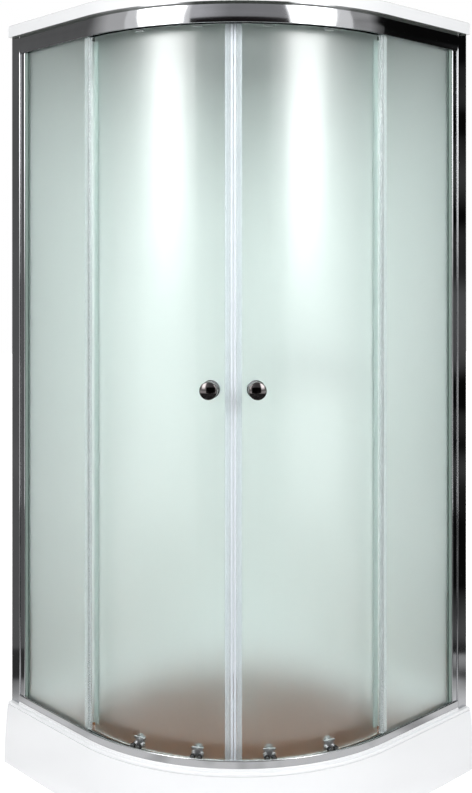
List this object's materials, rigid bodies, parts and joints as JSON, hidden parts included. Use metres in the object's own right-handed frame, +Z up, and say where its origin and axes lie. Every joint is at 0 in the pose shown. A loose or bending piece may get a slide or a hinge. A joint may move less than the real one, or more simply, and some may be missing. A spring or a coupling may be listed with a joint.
{
  "type": "shower cabin",
  "caption": "Quarter-round corner shower cabin with a low tray, frosted fixed panels, curved frosted sliding doors on rollers, bright rails and a roof.",
  "frame": {"origin": "centre of the footprint on the floor", "axes": "+Z up; the room corner is at -X +Y, the curved front faces +X -Y"},
  "size_m": [0.9, 0.9, 2.05],
  "materials": {
    "white_acrylic": "glossy vacuum-formed acrylic",
    "white_panel": "smooth white wall board",
    "brown_floor": "brown non-slip floor",
    "dark_steel": "powder-coated square tube",
    "zinc_steel": "zinc plated",
    "waste_plastic": "moulded pipe plastic",
    "bright_aluminium": "polished bright, like chrome",
    "chrome": "polished chrome plate",
    "frosted_glass": "tempered, frosted, faint green",
    "clear_vinyl": "clear extruded strip",
    "pale_gasket": "pale soft gasket",
    "track_plastic": "grey running strip",
    "dark_nylon": "dark moulded wheel",
    "button_plastic": "plated plastic"
  },
  "bodies": {
    "cabin": {"apron": "white_acrylic", "back_panel_left": "white_panel", "back_panel_right": "white_panel", "bottom_rail": "bright_aluminium", "corner_post": "white_panel", "edge_strips": "clear_vinyl", "fixed_glass_left": "frosted_glass", "fixed_glass_right": "frosted_glass", "floor_panel": "brown_floor", "frame_screws": "zinc_steel", "gaskets": "pale_gasket", "glazing_profiles": "bright_aluminium", "levelling_feet": "zinc_steel", "mixer": "chrome", "post_left": "bright_aluminium", "post_right": "bright_aluminium", "rail_connectors": "track_plastic", "riser": "chrome", "roof": "white_acrylic", "rose": "chrome", "support_frame": "dark_steel", "top_rail": "bright_aluminium", "tracks": "track_plastic", "tray": "white_acrylic", "waste": "waste_plastic", "waste_cover": "chrome"},
    "door_left": {"door_glass_left": "frosted_glass", "magnet_strip_left": "clear_vinyl", "trail_strip_left": "clear_vinyl", "upper_hangers_left": "chrome", "lower_hangers_left": "chrome", "hanger_caps_left": "chrome", "outer_knob_left": "chrome", "inner_knob_left": "chrome"},
    "door_right": {"door_glass_right": "frosted_glass", "magnet_strip_right": "clear_vinyl", "trail_strip_right": "clear_vinyl", "upper_hangers_right": "chrome", "lower_hangers_right": "chrome", "hanger_caps_right": "chrome", "outer_knob_right": "chrome", "inner_knob_right": "chrome"},
    "upper_wheel_lead_left": {"upper_wheel_lead_left": "dark_nylon"},
    "lower_wheel_lead_a_left": {"lower_wheel_lead_a_left": "dark_nylon"},
    "lower_wheel_lead_b_left": {"lower_wheel_lead_b_left": "dark_nylon"},
    "button_lead_left": {"button_lead_left": "button_plastic"},
    "upper_wheel_trail_left": {"upper_wheel_trail_left": "dark_nylon"},
    "lower_wheel_trail_a_left": {"lower_wheel_trail_a_left": "dark_nylon"},
    "lower_wheel_trail_b_left": {"lower_wheel_trail_b_left": "dark_nylon"},
    "button_trail_left": {"button_trail_left": "button_plastic"},
    "upper_wheel_lead_right": {"upper_wheel_lead_right": "dark_nylon"},
    "lower_wheel_lead_a_right": {"lower_wheel_lead_a_right": "dark_nylon"},
    "lower_wheel_lead_b_right": {"lower_wheel_lead_b_right": "dark_nylon"},
    "button_lead_right": {"button_lead_right": "button_plastic"},
    "upper_wheel_trail_right": {"upper_wheel_trail_right": "dark_nylon"},
    "lower_wheel_trail_a_right": {"lower_wheel_trail_a_right": "dark_nylon"},
    "lower_wheel_trail_b_right": {"lower_wheel_trail_b_right": "dark_nylon"},
    "button_trail_right": {"button_trail_right": "button_plastic"},
    "flow_handle": {"flow_handle": "chrome"},
    "heat_handle": {"heat_handle": "chrome"}
  },
  "joints": [
    {"name": "door_left_slide", "type": "hinge", "parent": "cabin", "child": "door_left", "pos_m": [-0.1, 0.1, 1.05], "axis": [0, 0, -1], "range_deg": [0, 24]},
    {"name": "upper_wheel_lead_left_spin", "type": "hinge", "parent": "door_left", "child": "upper_wheel_lead_left", "pos_m": [0.1835, -0.30943, 1.9583], "axis": [0.5693, -0.8221, 0], "range_deg": [0, 1205.2]},
    {"name": "lower_wheel_lead_a_left_spin", "type": "hinge", "parent": "door_left", "child": "lower_wheel_lead_a_left", "pos_m": [0.17651, -0.31427, 0.1803], "axis": [0.5693, -0.8221, 0], "range_deg": [0, 2183.1]},
    {"name": "lower_wheel_lead_b_left_spin", "type": "hinge", "parent": "door_left", "child": "lower_wheel_lead_b_left", "pos_m": [0.19049, -0.30459, 0.1803], "axis": [0.5693, -0.8221, 0], "range_deg": [0, 2183.1]},
    {"name": "button_lead_left_push", "type": "slide", "parent": "door_left", "child": "button_lead_left", "axis": [-0.5693, 0.8221, 0], "range_m": [0, 0.0024], "stiffness_N_per_m": 800},
    {"name": "upper_wheel_trail_left_spin", "type": "hinge", "parent": "door_left", "child": "upper_wheel_trail_left", "pos_m": [0.03894, -0.37823, 1.9583], "axis": [0.279, -0.9603, 0], "range_deg": [0, 1205.2]},
    {"name": "lower_wheel_trail_a_left_spin", "type": "hinge", "parent": "door_left", "child": "lower_wheel_trail_a_left", "pos_m": [0.03078, -0.3806, 0.1803], "axis": [0.279, -0.9603, 0], "range_deg": [0, 2183.1]},
    {"name": "lower_wheel_trail_b_left_spin", "type": "hinge", "parent": "door_left", "child": "lower_wheel_trail_b_left", "pos_m": [0.0471, -0.37585, 0.1803], "axis": [0.279, -0.9603, 0], "range_deg": [0, 2183.1]},
    {"name": "button_trail_left_push", "type": "slide", "parent": "door_left", "child": "button_trail_left", "axis": [-0.279, 0.9603, 0], "range_m": [0, 0.0024], "stiffness_N_per_m": 800},
    {"name": "door_right_slide", "type": "hinge", "parent": "cabin", "child": "door_right", "pos_m": [-0.1, 0.1, 1.05], "axis": [0, 0, 1], "range_deg": [0, 24]},
    {"name": "upper_wheel_lead_right_spin", "type": "hinge", "parent": "door_right", "child": "upper_wheel_lead_right", "pos_m": [0.30943, -0.1835, 1.9583], "axis": [-0.8221, 0.5693, 0], "range_deg": [0, 1205.2]},
    {"name": "lower_wheel_lead_a_right_spin", "type": "hinge", "parent": "door_right", "child": "lower_wheel_lead_a_right", "pos_m": [0.31427, -0.17651, 0.1803], "axis": [-0.8221, 0.5693, 0], "range_deg": [0, 2183.1]},
    {"name": "lower_wheel_lead_b_right_spin", "type": "hinge", "parent": "door_right", "child": "lower_wheel_lead_b_right", "pos_m": [0.30459, -0.19049, 0.1803], "axis": [-0.8221, 0.5693, 0], "range_deg": [0, 2183.1]},
    {"name": "button_lead_right_push", "type": "slide", "parent": "door_right", "child": "button_lead_right", "axis": [-0.8221, 0.5693, 0], "range_m": [0, 0.0024], "stiffness_N_per_m": 800},
    {"name": "upper_wheel_trail_right_spin", "type": "hinge", "parent": "door_right", "child": "upper_wheel_trail_right", "pos_m": [0.37823, -0.03894, 1.9583], "axis": [-0.9603, 0.279, 0], "range_deg": [0, 1205.2]},
    {"name": "lower_wheel_trail_a_right_spin", "type": "hinge", "parent": "door_right", "child": "lower_wheel_trail_a_right", "pos_m": [0.3806, -0.03078, 0.1803], "axis": [-0.9603, 0.279, 0], "range_deg": [0, 2183.1]},
    {"name": "lower_wheel_trail_b_right_spin", "type": "hinge", "parent": "door_right", "child": "lower_wheel_trail_b_right", "pos_m": [0.37585, -0.0471, 0.1803], "axis": [-0.9603, 0.279, 0], "range_deg": [0, 2183.1]},
    {"name": "button_trail_right_push", "type": "slide", "parent": "door_right", "child": "button_trail_right", "axis": [-0.9603, 0.279, 0], "range_m": [0, 0.0024], "stiffness_N_per_m": 800},
    {"name": "flow_handle_turn", "type": "hinge", "parent": "cabin", "child": "flow_handle", "pos_m": [-0.12, 0.384, 1.05], "axis": [1, 0, 0], "range_deg": [0, 90]},
    {"name": "heat_handle_turn", "type": "hinge", "parent": "cabin", "child": "heat_handle", "pos_m": [-0.12, 0.384, 1.05], "axis": [1, 0, 0], "range_deg": [-90, 90]}
  ],
  "couplings": [
    {"joint": "upper_wheel_lead_left_spin", "follows": "door_left_slide", "ratio": 49.8},
    {"joint": "lower_wheel_lead_a_left_spin", "follows": "door_left_slide", "ratio": 90.546},
    {"joint": "lower_wheel_lead_b_left_spin", "follows": "door_left_slide", "ratio": 90.546},
    {"joint": "upper_wheel_trail_left_spin", "follows": "door_left_slide", "ratio": 49.8},
    {"joint": "lower_wheel_trail_a_left_spin", "follows": "door_left_slide", "ratio": 90.546},
    {"joint": "lower_wheel_trail_b_left_spin", "follows": "door_left_slide", "ratio": 90.546},
    {"joint": "upper_wheel_lead_right_spin", "follows": "door_right_slide", "ratio": 49.8},
    {"joint": "lower_wheel_lead_a_right_spin", "follows": "door_right_slide", "ratio": 90.546},
    {"joint": "lower_wheel_lead_b_right_spin", "follows": "door_right_slide", "ratio": 90.546},
    {"joint": "upper_wheel_trail_right_spin", "follows": "door_right_slide", "ratio": 49.8},
    {"joint": "lower_wheel_trail_a_right_spin", "follows": "door_right_slide", "ratio": 90.546},
    {"joint": "lower_wheel_trail_b_right_spin", "follows": "door_right_slide", "ratio": 90.546}
  ]
}
